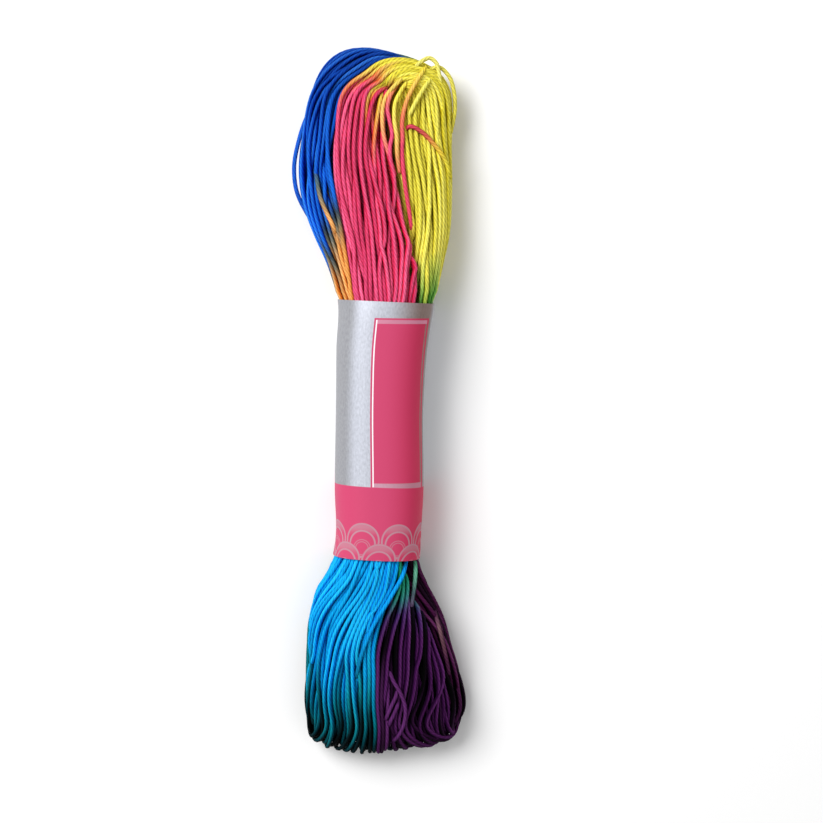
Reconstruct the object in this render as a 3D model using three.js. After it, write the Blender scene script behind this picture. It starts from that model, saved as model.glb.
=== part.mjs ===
// A skein of sashiko thread: one long cotton thread wound into a flat loop with two legs,
// gripped at the waist by a paper band. It lies on its back, face up.
// The legs lie side by side in the upper lobe. The parting between them leans over inside the band, so
// that in the lower lobe the left leg lies on the right one and the loop folds under at its foot.
// Millimetres. X runs to the right across the face, Y along the skein to its upper lobe, Z up.
// The origin is on the surface under the middle of the skein.
import * as THREE from "three";

// Driving sizes.
const BAND_TOP = 19.6;
const BAND_FOOT = -30.4;
const BAND_SKEW = -0.045; // the paper's cut edges run a little downhill to the right
const PAPER_WALL = 1;
const SEAT_GAP = 0.3; // between the paper and the thread inside it
const MOUTH = 0.6; // the thread starts to spread this far past the paper's edge
const MOUTH_FLARE = 2.6; // and takes this far to do so
const FOOT_HOLLOW = 0.42; // share of the lobe's end that stands hollow where the loop folds under
const ARCH_SWELL = 1.2; // the turns pile up this much higher on the arch of the upper lobe
const RIDGE_DEPTH = 0.5; // the groove between two bunches of thread
const RIDGE_FOOT = 1.5; // grooves die out this far above the surface, so that the underside is flat
const SIDE_POWER = 2.4; // roundness of the sides and the crown
const BASE_POWER = 5; // the underside is flatter than the crown
const SETTLE = 0.4; // how much of the underside's curve the skein's own weight has pressed flat

// The skein's outline, one row for each section from the lower lobe to the upper one.
// left and right are the two edges and height is the crown above the surface. The parting between the
// legs passes through split and level, leans by so many degrees from level, and is open by eye each side.
const OUTLINE = [
  { y: -62, left: -15.7, right: 16.3, height: 10.2, split: 0.3, level: 5.1, lean: 0, eye: 0.4 },
  { y: -57, left: -15.9, right: 15.9, height: 11.2, split: 0, level: 5.6, lean: 2, eye: 0.4 },
  { y: -50, left: -15.3, right: 14.1, height: 12.4, split: -0.6, level: 6.3, lean: 8, eye: 0.4 },
  { y: -43, left: -14.6, right: 12.1, height: 13.6, split: -1.2, level: 6.8, lean: 18, eye: 0.4 },
  { y: -37, left: -12.9, right: 9.2, height: 15, split: -1.6, level: 7.4, lean: 29, eye: 0.4 },
  { y: -33, left: -10.5, right: 7.5, height: 15.9, split: -1.2, level: 7.9, lean: 36, eye: 0.4 },
  { y: -29, left: -9.5, right: 7.5, height: 16.1, split: -0.6, level: 8, lean: 41, eye: 0.4 },
  { y: -17, left: -9.4, right: 8.1, height: 16, split: 0, level: 8, lean: 44, eye: 0.4 },
  { y: 0, left: -9.1, right: 8.1, height: 16, split: 0.8, level: 8, lean: 45, eye: 0.4 },
  { y: 10, left: -9, right: 8.8, height: 16.1, split: 1.7, level: 8, lean: 45, eye: 0.4 },
  { y: 20, left: -8.8, right: 10.4, height: 16.1, split: 2.5, level: 8, lean: 46, eye: 0.4 },
  { y: 27, left: -10.9, right: 12, height: 14.9, split: 2.5, level: 7.5, lean: 51, eye: 0.4 },
  { y: 33, left: -13.6, right: 13.3, height: 13.9, split: 2.3, level: 7, lean: 56, eye: 0.5 },
  { y: 40, left: -15.9, right: 13.7, height: 13, split: 2, level: 6.5, lean: 64, eye: 0.7 },
  { y: 50, left: -16.3, right: 13.7, height: 12, split: 1.8, level: 6, lean: 76, eye: 1.2 },
  { y: 60.5, left: -14.5, right: 13.9, height: 10.8, split: 3, level: 5.4, lean: 90, eye: 1.3 },
];
const LOWEST = OUTLINE[0].y;
const HIGHEST = OUTLINE[OUTLINE.length - 1].y;

// Where the edge runs round each lobe's end, from left to right.
const TOP_END = [
  { x: -12.4, y: 65.2 },
  { x: -9.6, y: 67.9 },
  { x: -5.1, y: 70 },
  { x: 0.9, y: 68.6 },
  { x: 5.4, y: 67.5 },
  { x: 9.4, y: 66 },
  { x: 12.4, y: 63.7 },
];
const FOOT_END = [
  { x: -13, y: -67.2 },
  { x: -8.6, y: -69.2 },
  { x: -3.6, y: -70.1 },
  { x: 0.4, y: -69.8 },
  { x: 5.4, y: -68.6 },
  { x: 10.9, y: -67.8 },
  { x: 14.7, y: -66 },
];

// How far the bundle has turned about its own line, in degrees, at places along each leg and at shares
// of the way round the upper end. Most of the turning happens out of sight inside the band.
const LEFT_TURNING = [
  { y: -62, turn: -90 },
  { y: -54, turn: -80 },
  { y: -48, turn: -70 },
  { y: -42, turn: -52 },
  { y: -36, turn: -26 },
  { y: -31, turn: -10 },
  { y: 20, turn: -8 },
  { y: 50, turn: -2 },
  { y: 60.5, turn: 3 },
];
const TOP_TURNING = [
  { share: 0, turn: 3 },
  { share: 0.1, turn: 9 },
  { share: 0.24, turn: 14 },
  { share: 0.4, turn: 4 },
  { share: 0.6, turn: -30 },
  { share: 0.8, turn: -60 },
  { share: 1, turn: -75 },
];
const RIGHT_TURNING = [
  { y: -62, turn: -262 },
  { y: -50, turn: -226 },
  { y: -31, turn: -180 },
  { y: 20, turn: -90 },
  { y: 45, turn: -90 },
  { y: 60.5, turn: -75 },
];
const FOOT_TURN = -178;

// Fineness of the wound form.
const RING_POINTS = 44;
const LOBE_STEP = 2;
const BAND_STEP = 8;
const END_STEPS = 20;
const OUTLINE_POINTS = 96;
const FOOT_POINTS = 60;
const WALL_POINTS = 48;

// A function that reads any column of a table of rows at a place given by the key column.
function reader(rows, key) {
  const names = Object.keys(rows[0]).filter((name) => name !== key);
  const places = rows.map((row) => row[key]);
  const values = rows.flatMap((row) => names.map((name) => row[name]));
  const curve = new THREE.CubicInterpolant(places, values, names.length);
  return (place) => {
    const found = curve.evaluate(place);
    return Object.fromEntries(names.map((name, i) => [name, found[i]]));
  };
}

const outlineAt = reader(OUTLINE, "y");
const leftTurningAt = reader(LEFT_TURNING, "y");
const rightTurningAt = reader(RIGHT_TURNING, "y");
const topTurningAt = reader(TOP_TURNING, "share");

// How far inside the outline the thread lies: nothing in the lobes, a paper wall and a gap in the band.
function insetAt(y) {
  const past = Math.max(y - BAND_TOP, BAND_FOOT - y) - MOUTH;
  return (PAPER_WALL + SEAT_GAP) * (1 - THREE.MathUtils.smoothstep(past, 0, MOUTH_FLARE));
}

// How far a leg's bundle has turned from its outward side, in degrees.
function legTurn(y, side) {
  const upright = 90 - outlineAt(y).lean;
  return side < 0 ? leftTurningAt(y).turn - upright : rightTurningAt(y).turn + upright;
}

function signedPower(value, power) {
  return Math.sign(value) * Math.abs(value) ** power;
}

// A rounded section between two edges, from base to crown, as points that run round it.
function roundedSection(left, right, base, crown, points) {
  const foot = base - SETTLE;
  const middle = new THREE.Vector2((left + right) / 2, (foot + crown) / 2);
  return Array.from({ length: points }, (_, i) => {
    const angle = (2 * Math.PI * i) / points;
    const sine = Math.sin(angle);
    const power = sine < 0 ? BASE_POWER : SIDE_POWER;
    return new THREE.Vector2(
      middle.x + ((right - left) / 2) * signedPower(Math.cos(angle), 2 / power),
      Math.max(base, middle.y + ((crown - foot) / 2) * signedPower(sine, 2 / power)),
    );
  });
}

// The part of a closed section that lies further out than the eye. Sections are measured outward in x
// and beside in y.
function beyondEye(section, eye) {
  return section.flatMap((point, i) => {
    const next = section[(i + 1) % section.length];
    const here = point.x - eye;
    const there = next.x - eye;
    const kept = here >= 0 ? [point] : [];
    const crossing = here * there < 0 ? [point.clone().lerp(next, here / (here - there))] : [];
    return [...kept, ...crossing];
  });
}

// The middle of a closed section's area.
function middleOf(section) {
  const sum = new THREE.Vector2();
  let area = 0;
  section.forEach((point, i) => {
    const next = section[(i + 1) % section.length];
    const cross = point.cross(next);
    sum.addScaledVector(point.clone().add(next), cross / 3);
    area += cross;
  });
  return sum.divideScalar(area);
}

// The section again with a set number of points spaced evenly round it. The first point is level with
// the section's middle on its outer side, or turned from there by some degrees.
function evenRing(section, turn) {
  const middle = middleOf(section);
  const last = section.findIndex((point, i) => {
    const next = section[(i + 1) % section.length];
    return point.x > middle.x && point.y <= middle.y && next.y > middle.y;
  });
  const next = section[(last + 1) % section.length];
  const start = section[last].clone().lerp(next, (middle.y - section[last].y) / (next.y - section[last].y));
  const ordered = [start, ...section.slice(last + 1), ...section.slice(0, last + 1)];
  const line = new THREE.CurvePath();
  ordered.forEach((point, i) => {
    line.add(new THREE.LineCurve(point, ordered[(i + 1) % ordered.length]));
  });
  return Array.from({ length: RING_POINTS }, (_, i) =>
    line.getPointAt(THREE.MathUtils.euclideanModulo(i / RING_POINTS + turn / 360, 1)),
  );
}

// One section of a leg: what lies on one side of the parting. side is -1 on the left and 1 on the right.
function legStation(y, side) {
  const { left, right, height, split, level, lean, eye } = outlineAt(y);
  const inset = insetAt(y);
  const slope = THREE.MathUtils.degToRad(lean);
  const outward = new THREE.Vector3(Math.sin(slope), 0, -Math.cos(slope)).multiplyScalar(side);
  const beside = new THREE.Vector3(Math.cos(slope), 0, Math.sin(slope));
  const measured = roundedSection(left + inset, right - inset, inset, height - inset, OUTLINE_POINTS)
    .map((point) => new THREE.Vector3(point.x - split, 0, point.y - level))
    .map((point) => new THREE.Vector2(point.dot(outward), point.dot(beside)));
  return {
    origin: new THREE.Vector3(split, y, level),
    outward,
    beside,
    section: beyondEye(side < 0 ? measured.reverse() : measured, eye),
    turn: legTurn(y, side),
    groove: 1 - inset / (PAPER_WALL + SEAT_GAP),
  };
}

// Even shares of the way round an end, without its two edges.
function endShares() {
  return Array.from({ length: END_STEPS - 1 }, (_, i) => (i + 1) / END_STEPS);
}

// The sections that run round the upper end, fanned about an upright line through the parting.
function topStations() {
  const { left, right, height, split, eye } = outlineAt(HIGHEST);
  const centre = new THREE.Vector2(split, HIGHEST);
  const points = [{ x: left, y: HIGHEST }, ...TOP_END, { x: right, y: HIGHEST }];
  const edge = new THREE.SplineCurve(points.map(({ x, y }) => new THREE.Vector2(x, y)));
  const offCentre = split - (left + right) / 2;
  return endShares().map((share) => {
    const spoke = edge.getPoint(share).sub(centre);
    const reach = spoke.length();
    const inner = 2 * offCentre * (1 - 2 * share) - reach;
    const crown = height + ARCH_SWELL * Math.sin(Math.PI * share);
    return {
      origin: new THREE.Vector3(split, HIGHEST, 0),
      outward: new THREE.Vector3(spoke.x / reach, spoke.y / reach, 0),
      beside: new THREE.Vector3(0, 0, 1),
      section: beyondEye(roundedSection(inner, reach, 0, crown, OUTLINE_POINTS), eye),
      turn: topTurningAt(share).turn,
      groove: 1,
    };
  });
}

// The sections that fold under at the lower end, fanned about a level line from the back leg up to the
// front one. Each reaches as far as an oval through the skin of the legs and the lobe's edge.
function footStations() {
  const { left, right, height, split, level, eye } = outlineAt(LOWEST);
  const middle = (left + right) / 2;
  const half = (right - left) / 2;
  const widest = (height - SETTLE) / 2;
  const bulge = (x, power) => {
    const share = Math.abs((x - middle) / half) ** power;
    return ((height + SETTLE) / 2) * Math.max(0, 1 - share) ** (1 / power);
  };
  const rise = (x) => widest + bulge(x, SIDE_POWER) - level;
  const drop = (x) => level - Math.max(0, widest - bulge(x, BASE_POWER));
  const edgeAt = reader([{ x: left, y: LOWEST }, ...FOOT_END, { x: right, y: LOWEST }], "x");
  const turns = [legTurn(LOWEST, 1), FOOT_TURN, legTurn(LOWEST, -1)];
  const turnAt = reader(turns.map((turn, i) => ({ share: i / 2, turn })), "share");
  const across = Array.from({ length: FOOT_POINTS }, (_, i) => left + ((i + 0.5) / FOOT_POINTS) * 2 * half);
  return endShares().map((share) => {
    const sine = Math.sin(Math.PI * share);
    const cosine = Math.cos(Math.PI * share);
    const reachAt = (x) => {
      const stand = Math.max(cosine > 0 ? drop(x) : rise(x), 0.05);
      const out = Math.max(LOWEST - edgeAt(x).y, 0.05);
      return 1 / Math.hypot(cosine / stand, sine / out);
    };
    const shown = across.filter((x) => reachAt(x) > eye + 0.1);
    const liningAt = (x) => eye + FOOT_HOLLOW * sine * (reachAt(x) - eye);
    const skin = shown.map((x) => new THREE.Vector2(reachAt(x), x - split));
    const lining = shown.toReversed().map((x) => new THREE.Vector2(liningAt(x), x - split));
    return {
      origin: new THREE.Vector3(split, LOWEST, level),
      outward: new THREE.Vector3(0, -sine, -cosine),
      beside: new THREE.Vector3(1, 0, 0),
      section: [...skin, ...lining],
      turn: turnAt(share).turn,
      groove: 1,
    };
  });
}

// Places along a leg from one lobe's eye to the other's, closer together in the lobes.
function legPlaces() {
  const spans = [
    [LOWEST, BAND_FOOT - MOUTH, LOBE_STEP],
    [BAND_FOOT - MOUTH, BAND_TOP + MOUTH, BAND_STEP],
    [BAND_TOP + MOUTH, HIGHEST, LOBE_STEP],
  ];
  const places = spans.flatMap(([from, to, step]) => {
    const count = Math.ceil((to - from) / step);
    return Array.from({ length: count }, (_, i) => from + ((to - from) * i) / count);
  });
  return [...places, HIGHEST];
}

// The ring of points of one section, with a groove between each pair of bunches.
function stationRing({ origin, outward, beside, section, turn, groove }) {
  const points = evenRing(section, turn);
  const inSpace = (point) =>
    origin.clone().addScaledVector(outward, point.x).addScaledVector(beside, point.y);
  return points.map((point, i) => {
    const fade = THREE.MathUtils.smoothstep(inSpace(point).z, 0, RIDGE_FOOT);
    const depth = i % 2 ? RIDGE_DEPTH * groove * fade : 0;
    const along = points[(i + 1) % RING_POINTS].clone().sub(points.at(i - 1)).normalize();
    const inward = new THREE.Vector2(-along.y, along.x);
    return inSpace(point.clone().addScaledVector(inward, depth));
  });
}

// A closed skin through rings that themselves close on the first one.
function closedLoft(rings) {
  const count = rings[0].length;
  const corner = (ring, point) => (ring % rings.length) * count + (point % count);
  const index = rings.flatMap((_, ring) =>
    Array.from({ length: count }, (_, point) => [
      corner(ring, point), corner(ring, point + 1), corner(ring + 1, point),
      corner(ring, point + 1), corner(ring + 1, point + 1), corner(ring + 1, point),
    ]).flat(),
  );
  const geometry = new THREE.BufferGeometry().setFromPoints(rings.flat()).setIndex(index);
  geometry.computeVertexNormals();
  return geometry;
}

// The wound thread: up the left leg, round the upper end, down the right leg and under at the foot.
function makeHank() {
  const places = legPlaces();
  const stations = [
    ...places.map((y) => legStation(y, -1)),
    ...topStations(),
    ...places.toReversed().map((y) => legStation(y, 1)),
    ...footStations(),
  ];
  const cotton = new THREE.MeshStandardMaterial({ color: 0xd14a6c, roughness: 0.8, metalness: 0 });
  const hank = new THREE.Mesh(closedLoft(stations.map(stationRing)), cotton);
  hank.name = "hank";
  return hank;
}

// One ring of the paper, level with the outline or set in from it.
function paperRing(y, inset) {
  const { left, right, height } = outlineAt(y);
  const middle = (left + right) / 2;
  return roundedSection(left + inset, right - inset, inset, height - inset, WALL_POINTS)
    .map((point) => new THREE.Vector3(point.x, y + BAND_SKEW * (point.x - middle), point.y));
}

// The paper band round the waist: its inner face from foot to top, then its outer face back again.
function makeBand() {
  const inside = OUTLINE.map((row) => row.y).filter((y) => y > BAND_FOOT && y < BAND_TOP);
  const places = [BAND_FOOT, ...inside, BAND_TOP];
  const rings = [
    ...places.map((y) => paperRing(y, PAPER_WALL)),
    ...places.toReversed().map((y) => paperRing(y, 0)),
  ];
  const paper = new THREE.MeshStandardMaterial({ color: 0xc9ccd4, roughness: 0.45, metalness: 0.35 });
  const band = new THREE.Mesh(closedLoft(rings), paper);
  band.name = "paper_band";
  return band;
}

const skein = new THREE.Group();
skein.add(makeHank(), makeBand());
export default skein;
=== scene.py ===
"""A skein of sashiko thread: some forty metres of variegated cotton in a paper band.

The thread is one continuous strand. It is laid turn by turn through the sections of the
wound form, settled so that neighbours touch without crossing, and meshed as round tubes.
The band is a printed sheet of paper wrapped round the waist. Sizes are in millimetres in
the tables and become metres when a mesh is made.
"""

import logging
import math
from dataclasses import astuple, dataclass
from enum import Enum
from typing import Any, Iterable, Sequence

import bpy
import numpy as np
from mathutils import Matrix, Vector
from numpy.typing import NDArray


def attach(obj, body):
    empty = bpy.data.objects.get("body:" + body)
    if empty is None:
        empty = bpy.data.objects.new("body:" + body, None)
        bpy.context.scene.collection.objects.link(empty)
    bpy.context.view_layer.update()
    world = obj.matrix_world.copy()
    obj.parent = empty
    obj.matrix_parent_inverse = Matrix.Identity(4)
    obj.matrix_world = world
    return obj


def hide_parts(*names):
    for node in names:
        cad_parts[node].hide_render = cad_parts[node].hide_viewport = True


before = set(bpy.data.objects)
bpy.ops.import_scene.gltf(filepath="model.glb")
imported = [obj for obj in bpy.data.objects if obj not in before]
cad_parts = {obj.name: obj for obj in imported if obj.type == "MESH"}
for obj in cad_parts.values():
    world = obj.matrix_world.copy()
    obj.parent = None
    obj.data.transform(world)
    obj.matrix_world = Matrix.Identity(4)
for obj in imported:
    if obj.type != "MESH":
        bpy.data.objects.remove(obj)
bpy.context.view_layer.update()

Array = NDArray[np.float64]
Whole = NDArray[np.int64]
Colour = tuple[int, int, int]
Place = tuple[float, float, float]

LOG = logging.getLogger("skein")
MM = 0.001
SEED = 5812
BODY = "root"


class Stretch(Enum):
    """The four stretches of one turn of thread, in the order that it runs."""

    LEFT_LEG = "left leg, upwards"
    TOP_END = "round the upper end"
    RIGHT_LEG = "right leg, downwards"
    FOOT_END = "round the lower end"


LEFT, TOP, RIGHT, FOOT = Stretch


class Dye(Enum):
    """The runs of colour that turns took: one in the upper lobe and one in the lower."""

    ROSE = "pink, then yellow and green"
    BLUE = "orange, then blue"
    CYAN = "dark teal, then cyan"
    TEAL = "dark teal, then cyan higher up"
    PURPLE = "purple, then green"
    # near black: painted shade between and under the purple turns
    BLACK = "near black, then green"


# Small helpers on numbers and colours


def smoothstep(low: float, high: float, value: Array) -> Array:
    """Eases from 0 at low to 1 at high.

    Args:
        low: Where the rise starts.
        high: Where it ends.
        value: Places to read.

    Returns:
        The eased values.
    """
    share = np.clip((value - low) / (high - low), 0.0, 1.0)
    return share * share * (3.0 - 2.0 * share)


def smooth_read(places: Array, values: Array, at: Array) -> Array:
    """Reads a smooth curve through table values.

    Args:
        places: Rising places of the table's rows.
        values: One row of values for each place.
        at: Places to read.

    Returns:
        The values at those places.
    """
    slopes = np.gradient(values, places, axis=0)
    left = np.clip(np.searchsorted(places, at, side="right") - 1, 0, len(places) - 2)
    span = places[left + 1] - places[left]
    share = np.clip((at - places[left]) / span, 0.0, 1.0)
    if values.ndim > 1:
        span, share = span[:, None], share[:, None]
    rise = share * share * (3.0 - 2.0 * share)
    start = share * (1.0 - share) ** 2 * span
    end = share * share * (share - 1.0) * span
    straight = (1 - rise) * values[left] + rise * values[left + 1]
    return straight + start * slopes[left] + end * slopes[left + 1]


def run_lengths(points: Array) -> Array:
    """The length along a line at each of its points, from 0."""
    return np.concatenate([[0.0], np.cumsum(np.linalg.norm(np.diff(points, axis=0), axis=1))])


def linear(colour: Colour) -> tuple[float, float, float, float]:
    """Turns a screen colour into the linear one that shaders use.

    Args:
        colour: Red, green and blue from 0 to 255.

    Returns:
        The linear colour, opaque.
    """
    parts = [c / 255.0 for c in colour]
    red, green, blue = (c / 12.92 if c <= 0.04045 else ((c + 0.055) / 1.055) ** 2.4 for c in parts)
    return red, green, blue, 1.0


# Shader writing


class Field:
    """A shader value that Python arithmetic combines by adding Math nodes."""

    def __init__(self, shader: "Shader", socket: bpy.types.NodeSocket) -> None:
        """Wraps one output socket of a shader."""
        self.shader = shader
        self.socket = socket

    def math(self, operation: str, *others: "Field | float") -> "Field":
        """Applies a Math node to this value and others.

        Args:
            operation: The Math node's operation.
            others: Its further values.

        Returns:
            The node's result.
        """
        sockets = dict(enumerate((self, *others)))
        return self.shader.node("ShaderNodeMath", {"operation": operation}, sockets)

    def __add__(self, other: "Field | float") -> "Field":
        """Sum."""
        return self.math("ADD", other)

    def __sub__(self, other: "Field | float") -> "Field":
        """Difference."""
        return self.math("SUBTRACT", other)

    def __rsub__(self, other: float) -> "Field":
        """Difference from a number."""
        return self.shader.node("ShaderNodeMath", {"operation": "SUBTRACT"}, {0: other, 1: self})

    def __mul__(self, other: "Field | float") -> "Field":
        """Product."""
        return self.math("MULTIPLY", other)

    def __truediv__(self, other: "Field | float") -> "Field":
        """Quotient."""
        return self.math("DIVIDE", other)

    def __gt__(self, other: "Field | float") -> "Field":
        """One where this is greater, otherwise nought."""
        return self.math("GREATER_THAN", other)

    def __lt__(self, other: "Field | float") -> "Field":
        """One where this is less, otherwise nought."""
        return self.math("LESS_THAN", other)

    def __and__(self, other: "Field") -> "Field":
        """Where both masks hold."""
        return self.math("MULTIPLY", other)

    def __or__(self, other: "Field") -> "Field":
        """Where either mask holds."""
        return self.math("MAXIMUM", other)

    def soft_between(self, low: float, high: float, blur: float) -> "Field":
        """One between two values, with edges as soft as ink on paper.

        Args:
            low: Lower edge.
            high: Upper edge.
            blur: Width of each soft edge.

        Returns:
            The mask.
        """
        return self.ramp(low - blur / 2, low + blur / 2) & self.soft_below(high, blur)

    def soft_below(self, edge: float, blur: float) -> "Field":
        """One below an edge as soft as ink on paper, otherwise nought."""
        return 1.0 - self.ramp(edge - blur / 2, edge + blur / 2)

    def ramp(self, low: float, high: float) -> "Field":
        """Rises from 0 at low to 1 at high."""
        sockets = {"Value": self, "From Min": low, "From Max": high}
        return self.shader.node("ShaderNodeMapRange", {"interpolation_type": "SMOOTHSTEP"}, sockets)


class Shader:
    """A material's nodes, written from Python."""

    def __init__(self, name: str) -> None:
        """Starts an empty material."""
        self.material = bpy.data.materials.new(name)
        self.material.use_nodes = True
        self.tree = self.material.node_tree
        self.tree.nodes.clear()

    def node(
        self,
        kind: str,
        settings: dict[str, Any] | None = None,
        sockets: dict[str | int, Any] | None = None,
        output: str | int = 0,
    ) -> "Field | None":
        """Adds any node.

        Args:
            kind: The node's type.
            settings: Its settings, set first.
            sockets: Values or links of its input sockets, by name or number.
            output: Which output socket to return.

        Returns:
            That output, or nothing for the node that closes a material.
        """
        made = self.tree.nodes.new(kind)
        for name, value in (settings or {}).items():
            setattr(made, name, value)
        for name, value in (sockets or {}).items():
            if isinstance(value, Field):
                self.tree.links.new(value.socket, made.inputs[name])
            else:
                made.inputs[name].default_value = value
        return Field(self, made.outputs[output]) if made.outputs else None

    def attribute(self, name: str, output: str = "Fac") -> Field:
        """Reads an attribute of the mesh."""
        return self.node("ShaderNodeAttribute", {"attribute_name": name}, output=output)

    def mix(self, share: Field | float, first: Any, second: Any, blend: str = "MIX") -> Field:
        """Mixes two colours.

        Args:
            share: How much of the second.
            first: Colour or link.
            second: Colour or link.
            blend: Blend mode.

        Returns:
            The mixed colour.
        """
        settings = {"data_type": "RGBA", "blend_type": blend}
        return self.node("ShaderNodeMix", settings, {0: share, 6: first, 7: second}, output=2)

    def dimmed(self, colour: Field, share: Field) -> Field:
        """Multiplies a colour by one value."""
        grey = self.node("ShaderNodeCombineColor", {}, {0: share, 1: share, 2: share})
        return self.mix(1.0, colour, grey, "MULTIPLY")

    def noise(self, scale: float, detail: float, vector: Field) -> Field:
        """Cloudy values from 0 to 1."""
        return self.node("ShaderNodeTexNoise", {}, {"Vector": vector, "Scale": scale, "Detail": detail})

    def split(self, vector: Field) -> tuple[Field, Field, Field]:
        """Splits a vector into its three values."""
        first = self.node("ShaderNodeSeparateXYZ", {}, {0: vector})
        outputs = first.socket.node.outputs
        return first, Field(self, outputs[1]), Field(self, outputs[2])

    def bump(self, height: Field, distance: float) -> Field:
        """Turns a height into a bumped normal."""
        sockets = {"Height": height, "Distance": distance, "Strength": 1.0}
        return self.node("ShaderNodeBump", {}, sockets, output="Normal")

    def finish(self, sockets: dict[str | int, Any]) -> bpy.types.Material:
        """Closes the material with a Principled shader.

        Args:
            sockets: The shader's values and links.

        Returns:
            The finished material.
        """
        surface = self.node("ShaderNodeBsdfPrincipled", {}, sockets)
        self.node("ShaderNodeOutputMaterial", {}, {"Surface": surface})
        return self.material


# The wound form, as in the solids


@dataclass(frozen=True)
class OutlineRow:
    """One section of the skein across its length, in millimetres and degrees.

    The parting between the two legs crosses the section through split and level, at lean from
    the level, and stands open by eye on each side.
    """

    y: float
    left: float
    right: float
    height: float
    split: float
    level: float
    lean: float
    eye: float


@dataclass(frozen=True)
class Turning:
    """How far the bundle has turned about its own line, in degrees.

    The place is y on a leg, or a share of the way round an end.
    """

    at: float
    turn: float


@dataclass(frozen=True)
class Stations:
    """Sections all round one turn: where each stands, its outline and how far it is turned."""

    origin: Array
    outward: Array
    beside: Array
    ring: Array
    middle: Array
    reach: Array
    turn: Array
    lap: Array

    def rolled(self, first: int) -> "Stations":
        """The same sections, starting from another one."""
        return Stations(*(np.roll(part, -first, axis=0) for part in vars(self).values()))

    def in_space(self, places: Array) -> Array:
        """Turns places in the sections, by station and turn, into points in space."""
        across = places[..., :1] * self.outward[:, None, :] + places[..., 1:] * self.beside[:, None, :]
        return self.origin[:, None, :] + across


@dataclass(frozen=True)
class Cut:
    """One section before it is spaced: its plane and its outline measured outward and beside."""

    origin: Array
    outward: Array
    beside: Array
    section: Array


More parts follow.
